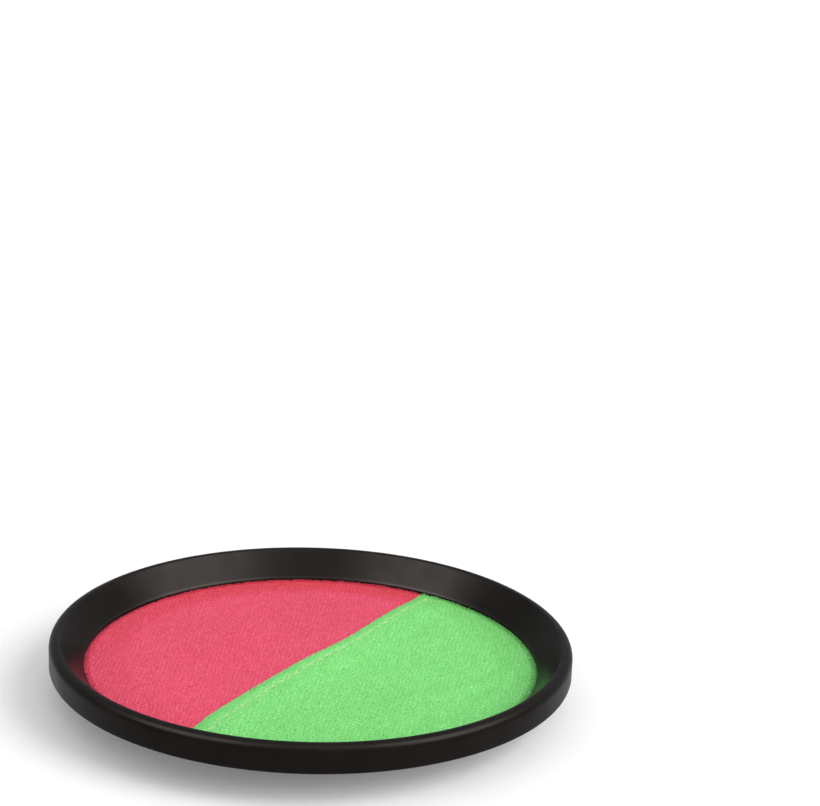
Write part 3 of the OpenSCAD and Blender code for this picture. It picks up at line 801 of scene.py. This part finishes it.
def grainedPlastic():
    # back of the paddle: matt black with a leathery moulded grain
    material, tree, spot = startFinish("grained_back_plastic", 0.55, {"Specular IOR Level": 0.4})
    cells = put(tree, "TexVoronoi", {"Vector": spot, "Scale": 1500.0})
    cloud = noise(tree, spot, 70.0, 4.0)
    paint = ramp(tree, cloud, (0.3, (0.010, 0.009, 0.0085)), (0.7, (0.017, 0.0155, 0.0145)))
    gloss = remap(tree, cloud, (0.3, 0.7), (0.48, 0.62))
    return finished(material, paint, {"Roughness": gloss, "Normal": bump(tree, cells, 0.22, 0.0002)})


def brushedSteel(name, light, rough, stretch):
    # bright steel with drawn lines along one axis
    material, tree, spot = startFinish(name, rough, {"Metallic": 1.0})
    drawn = put(tree, "Mapping", {"Vector": spot, "Scale": stretch})
    lines = noise(tree, drawn, 900.0, 3.0)
    paint = ramp(tree, lines, (0.3, tuple(c * 0.72 for c in light)), (0.7, light))
    gloss = remap(tree, lines, (0.3, 0.7), (rough - 0.08, rough + 0.1))
    return finished(material, paint, {"Roughness": gloss, "Normal": bump(tree, lines, 0.12, 0.0001)})


def dress(node, material):
    # a solid of the frame with its finish put on
    node.data.materials.clear()
    node.data.materials.append(material)


dress(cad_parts["back_plate"], grainedPlastic())
screwSteel = brushedSteel("zinc_screw_steel", (0.62, 0.61, 0.58), 0.34, (1, 1, 1))
dress(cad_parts["rim_screws"], screwSteel)
pinSteel = brushedSteel("drawn_pin_steel", (0.56, 0.56, 0.55), 0.28, (1, 0.05, 1))
for side in ("left", "right"):
    dress(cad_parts[side + "_strap_pin"], pinSteel)
print("plate, screws and pins dressed")


# hand strap

strapSet = {"wide": 38.0, "thick": 1.1, "pinX": 54.0, "pinZ": 5.82, "loopR": 2.13, "drop": 3.35,
            "bend": (-68.0, -292.0), "throat": 4.6, "leg": 32.0, "doubled": 12.0, "stepFrom": 0.6,
            "stepTo": 3.4, "foldX": 22.055, "foldZ": 3.95, "foldIn": 1.0, "tongueTip": 17.57,
            "jogX": 12.055, "jogIn": 0.5, "jogOut": 0.4, "flapZ": 1.05, "flapTip": 31.0, "tipR": 6.0,
            "split": 15.4, "rib": 1.58, "pick": 1.2, "deep": 0.09, "step": 0.4}


def runLength(line):
    # length along a line from its start to each of its points
    return np.concatenate([[0], np.cumsum(np.hypot(*np.diff(line, axis=0).T))])


def lineNormals(line):
    # directions square to a line at each of its points
    tangent = np.gradient(line, axis=0)
    tangent /= np.linalg.norm(tangent, axis=1)[:, None]
    return np.stack([-tangent[:, 1], tangent[:, 0]], -1)


def walk(points, step):
    # points set evenly along a broken line, then rounded by a short sliding mean
    points = np.asarray(points, float)
    s = runLength(points)
    even = np.linspace(0, s[-1], int(s[-1] / step) + 1)
    line = np.stack([np.interp(even, s, points[:, k]) for k in (0, 1)], -1)
    for _ in range(3):
        line[1:-1] = (line[:-2] + 2 * line[1:-1] + line[2:]) / 4
    return line


def legPath(s):
    # from the cut end, along the doubled stretch, round the pin and back to the fold, seen along Y
    t = s["thick"] / 2
    lower = [[s["doubled"], -t], [s["throat"], -t]]
    pinBend = arc(0, 0, s["loopR"], *s["bend"], 40)
    upper = [[s["throat"], t], [s["doubled"] - s["stepFrom"], t], [s["doubled"] + s["stepTo"], 0],
             [s["leg"] - s["foldIn"], 0]]
    path = np.concatenate([lower, pinBend, upper])
    a = math.radians(s["drop"])
    return np.stack([-s["pinX"] + path[:, 0] * math.cos(a) + path[:, 1] * math.sin(a),
                     s["pinZ"] - path[:, 0] * math.sin(a) + path[:, 1] * math.cos(a)], -1)


def webbingBand(path, half, s):
    # a flat section with round edges carried along the path: ribs run along it, picks cross it
    normal, run, t = lineNormals(path), runLength(path), s["thick"] / 2
    flat = np.linspace(-1, 1, int(s["wide"] / s["step"]))
    edge = np.radians(np.linspace(90, -90, 7)[1:-1])
    reach = s["wide"] / 2 - t
    y = np.concatenate([flat * reach, reach + t * np.cos(edge),
                        -flat * reach, -reach - t * np.cos(edge)])
    n = np.concatenate([flat * 0 + t, t * np.sin(edge), flat * 0 - t, -t * np.sin(edge)])
    face = np.concatenate([flat * 0 + 1, edge * 0, flat * 0 - 1, edge * 0])
    ribs = np.cos(2 * np.pi * y / s["rib"])[None, :]
    side = np.where(np.round(y / s["rib"]) % 2, 1, -1)[None, :]
    picks = np.cos(2 * np.pi * run / s["pick"])[:, None] * side
    relief = s["deep"] * (0.5 * ribs + 0.35 * picks - 0.5) * face
    width = y[None, :] * (half / (s["wide"] / 2))[:, None]
    lift = n[None, :] + relief
    points = np.stack([path[:, None, 0] + normal[:, None, 0] * lift, width,
                       path[:, None, 1] + normal[:, None, 1] * lift], -1)
    uv = np.stack([run[:, None] + 0 * y, y + 0 * run[:, None]], -1) * mm
    return points.reshape(-1, 3), tubeFaces(*points.shape[:2]), uv.reshape(-1, 2)


def tipWidth(left, half, r):
    # half width near a tip with rounded corners; left is the length that is left to the tip
    inner = np.clip(r - left, 0, r)
    return half - r + np.sqrt(np.clip(r * r - inner * inner, 0.01, None))


def lengthLeft(path):
    # length of the path from each of its points to its end
    return runLength(path[::-1])[::-1]


def nylonWebbing(name, dark, light):
    # black webbing: twill lines across the run, a faint sheen and paler rubbed ribs
    sheen = {"Sheen Weight": 0.25, "Sheen Roughness": 0.4, "Specular IOR Level": 0.35}
    material, tree, spot = startFinish(name, 0.6, sheen, onRun=True)
    slant = put(tree, "Mapping", {"Vector": spot, "Rotation": (0, 0, 0.62)})
    twill = put(tree, "TexWave", {"Vector": slant, "Scale": 520.0, "Distortion": 0.6, "Detail": 1.0})
    rub = noise(tree, spot, 260.0, 4.0)
    both = put(tree, "Mix", {"Factor": 0.45, "A": twill, "B": rub})
    paint = ramp(tree, both, (0.25, dark), (0.75, light))
    return finished(material, paint, {"Normal": bump(tree, twill, 0.45, 0.0002)})


webbing = nylonWebbing("black_nylon_webbing", (0.011, 0.0105, 0.010), (0.035, 0.033, 0.032))


def strapPiece(name, path, half, side):
    # one length of webbing along its path, mirrored in the YZ plane where side is -1
    points, faces, uv = webbingBand(path, half, strapSet)
    points = points * np.array([side, 1, 1])
    return makePiece(name, [(points, faces)], webbing, None, "webbing", sharp=60, uv=uv)


def makeStraps(s):
    # a leg and its tongue, and on the other side a leg that jogs down to the flap, cut where it peels
    half = s["wide"] / 2
    leg = legPath(s)
    tongue = [[-s["foldX"] + s["foldIn"], s["foldZ"]], [s["tongueTip"], s["foldZ"]]]
    inner = walk(np.concatenate([leg, tongue]), s["step"])
    band = strapPiece("inner_strap", inner, tipWidth(lengthLeft(inner), half, s["tipR"]), 1)
    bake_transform(band)
    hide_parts("inner_strap_leg", "inner_strap_tongue")
    # the other half is worked out on the same side and then mirrored
    t = np.linspace(0, 1, 30)[1:-1]
    jog = np.stack([-s["foldX"] + s["jogIn"] + (s["foldX"] - s["jogX"] - s["jogIn"]) * t,
                    s["foldZ"] + (s["flapZ"] - s["foldZ"]) * ease(t)], -1)
    level = [[-s["jogX"] + s["jogOut"], s["flapZ"]], [s["flapTip"], s["flapZ"]]]
    outer = walk(np.concatenate([leg, jog, level]), s["step"])
    cut = int(np.argmax(outer[:, 0] > -s["split"]))
    halfWide = tipWidth(lengthLeft(outer), half, s["tipR"])
    upper = strapPiece("outer_strap", outer[:cut + 1], halfWide[:cut + 1], -1)
    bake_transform(upper)
    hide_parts("outer_strap_leg", "outer_strap_bridge")
    flap = strapPiece("outer_strap_end", outer[cut:], halfWide[cut:], -1)
    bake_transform(flap)
    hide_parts("outer_strap_flap")


makeStraps(strapSet)
print("straps made")


# hook and loop closure

closureSet = {"wide": 34.0, "thick": 0.36, "corner": 3.0, "seam": 1.6, "inset": (2.4, 2.2),
              "rib": 1.1, "pick": 0.9, "deep": 0.05, "step": 0.6,
              "hookX": (-26.0, 8.755), "hookZ": 1.6, "hookT": 0.9, "hookPitch": 1.6, "hookStir": 0.12,
              "hookSpread": 0.2, "hookTall": 0.54, "hookWire": 0.085,
              "loopX": (-21.055, 15.16), "loopZ": 2.7, "loopT": 0.7, "loopPitch": 1.15,
              "loopStir": 0.5, "loopWide": 0.42, "loopDrop": 0.29, "loopIn": 0.04, "loopWire": 0.05}


def tapeSlab(x0, x1, z0, s):
    # a straight thin band with its corners rounded at both ends
    corner, wide, t = s["corner"], s["wide"] / 2, np.linspace(0, np.pi / 2, 10)
    x = np.concatenate([x0 + 0.001 + corner * (1 - np.cos(t)),
                        np.linspace(x0 + corner, x1 - corner, 60)[1:-1],
                        x1 - 0.001 - corner * (1 - np.sin(t))])
    path = np.stack([x, 0 * x + z0 + s["thick"] / 2], -1)
    half = np.minimum(tipWidth(x - x0, wide, corner), tipWidth(x1 - x, wide, corner))
    points, faces, _ = webbingBand(path, half, s)
    return points, faces


def patchSpots(x0, x1, pitch, s, seed, stir):
    # places on a grid inside the patch's seam, stirred a little
    random = np.random.default_rng(seed)
    first, last = s["inset"]
    x = np.arange(x0 + first, x1 - last, pitch)
    y = np.arange(-s["wide"] / 2 + first, s["wide"] / 2 - last, pitch)
    return *stirredGrid(x, y, stir, random), random


def sweptThreads(line, x, y, z, turn, radius, sides):
    # one bent line in its own plane, drawn as a thin tube at each place and turned about Z
    normal = lineNormals(line)
    q = np.linspace(0, 2 * np.pi, sides, endpoint=False)
    along = line[:, None, 0] + radius * np.cos(q) * normal[:, None, 0]
    rise = line[:, None, 1] + radius * np.cos(q) * normal[:, None, 1]
    aside = radius * np.sin(q) + 0 * along
    points = standing(x, y, z + 0 * x, turn, along, aside, rise)
    return repeated(points, tubeFaces(len(line), sides), len(x))


def hookShells(s):
    # a tape with rows of small bent hooks that stand up towards the loops
    slab = tapeSlab(*s["hookX"], s["hookZ"], s)
    x, y, random = patchSpots(*s["hookX"], s["hookPitch"], s, 5, s["hookStir"])
    line = np.array([[0, -0.05], [0, 0.2], [0.03, 0.36], [0.14, 0.46], [0.27, 0.42], [0.32, 0.3]])
    turn = np.where(np.round(y / s["hookPitch"]) % 2, 0, np.pi)
    turn = turn + random.normal(0, s["hookSpread"], len(x))
    tall = (s["hookT"] - s["thick"]) / s["hookTall"]
    return [slab, sweptThreads(line * tall, x, y, s["hookZ"] + s["thick"], turn, s["hookWire"], 4)]


def loopShells(s):
    # a tape whose lower face is covered with small loose loops
    under = s["loopZ"] + s["loopT"] - s["thick"]
    slab = tapeSlab(*s["loopX"], under, s)
    x, y, random = patchSpots(*s["loopX"], s["loopPitch"], s, 6, s["loopStir"])
    t = np.linspace(0, np.pi, 6)
    line = np.stack([-s["loopWide"] * np.cos(t), -s["loopDrop"] * np.sin(t) + s["loopIn"]], -1)
    turn = random.uniform(0, 2 * np.pi, len(x))
    return [slab, sweptThreads(line, x, y, under, turn, s["loopWire"], 3)]


def closureTape(name, dark, light, rough, sheen):
    # knitted tape under the hooks or loops: a fine mesh, darker in the openings between its yarns as
    # painted shade
    material, tree, spot = startFinish(name, rough, {"Sheen Weight": sheen, "Specular IOR Level": 0.4})
    knit = put(tree, "TexVoronoi", {"Vector": spot, "Scale": 1500.0})
    # painted shade in the openings between the yarns
    paint = ramp(tree, knit, (0.1, light), (0.6, dark))
    return finished(material, paint, {"Normal": bump(tree, knit, 0.4, 0.0002)})


def makeClosure(s):
    # each tape with its own finish, on the length of strap that carries it
    hookTape = closureTape("hook_tape_nylon", (0.012, 0.011, 0.010), (0.040, 0.037, 0.035), 0.4, 0.0)
    loopTape = closureTape("loop_tape_nylon", (0.010, 0.0095, 0.009), (0.030, 0.028, 0.027), 0.85, 0.4)
    hooks = makePiece("hook_tape", hookShells(s), hookTape, "outer_flap", "closure_hook", sharp=60)
    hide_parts("hook_patch")
    loops = makePiece("loop_tape", loopShells(s), loopTape, "inner_tongue", "closure_loop", sharp=60)
    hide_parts("loop_patch")


makeClosure(closureSet)
print("closure made")


# stitching of the strap

strapStitch = {"length": 2.1, "pitch": 3.0, "width": 0.5, "high": 0.36, "legFirst": 3.9,
               "legLast": 1.2, "legReach": 17.0, "loopZ": 4.5, "hookZ": 0.5}
darkThread = sewingThread("dark_strap_thread", (0.035, 0.033, 0.031), (0.10, 0.095, 0.09))


def row(a, b, s):
    # middles and directions of the stitches that fit from point a to point b
    a, b = np.asarray(a, float), np.asarray(b, float)
    length = np.linalg.norm(b - a)
    count = int((length - s["length"]) / s["pitch"]) + 1
    way = (b - a) / length
    spot = (np.arange(count) - (count - 1) / 2) * s["pitch"]
    return (a + b) / 2 + spot[:, None] * way, np.tile(way, (count, 1))


def stitchPiece(name, rows, up, body, node, s=strapStitch):
    # rows of stitches that lie on a face with that upward direction
    centres = np.concatenate([r[0] for r in rows])
    ways = np.concatenate([r[1] for r in rows])
    ups = np.tile(up, (len(ways), 1))
    shell = spindles(centres, ways, ups, s["length"], s["width"], s["high"])
    piece = makePiece(name, [shell], darkThread, body, "strap_thread", sharp=180)
    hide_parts(node)


def patchRows(x0, x1, z, s):
    # four rows round a patch, inside its edge
    a, b = x0 + s["seam"], x1 - s["seam"]
    y = s["wide"] / 2 - s["seam"]
    inner = y - strapStitch["length"]
    return [row((a, e * y, z), (b, e * y, z), strapStitch) for e in (-1, 1)] \
        + [row((x, -inner, z), (x, inner, z), strapStitch) for x in (a, b)]


def legRows(side, s, stitch=strapStitch):
    # two rows across the doubled webbing, on the face away from the hand
    a = math.radians(s["drop"])
    rows = []
    for run in (stitch["legFirst"], s["doubled"] - stitch["legLast"]):
        x = run * math.cos(a) - s["thick"] * math.sin(a)
        z = -run * math.sin(a) - s["thick"] * math.cos(a)
        x, y, z = side * (s["pinX"] - x), stitch["legReach"], s["pinZ"] + z
        rows.append(row((x, -y, z), (x, y, z), stitch))
    return rows, (side * math.sin(a), 0, -math.cos(a))


loopRows = patchRows(*closureSet["loopX"], strapStitch["loopZ"], closureSet)
stitchPiece("loop_tape_stitches", loopRows, (0, 0, 1.0), "inner_tongue", "loop_patch_stitching")
hookRows = patchRows(*closureSet["hookX"], strapStitch["hookZ"], closureSet)
stitchPiece("hook_tape_stitches", hookRows, (0, 0, -1.0), "outer_flap", "hook_patch_stitching")
for side, body in ((-1, "inner"), (1, "outer")):
    rows, up = legRows(side, strapSet)
    stitchPiece(body + "_strap_stitches", rows, up, body + "_leg", body + "_loop_stitching")
print("strap stitches made")
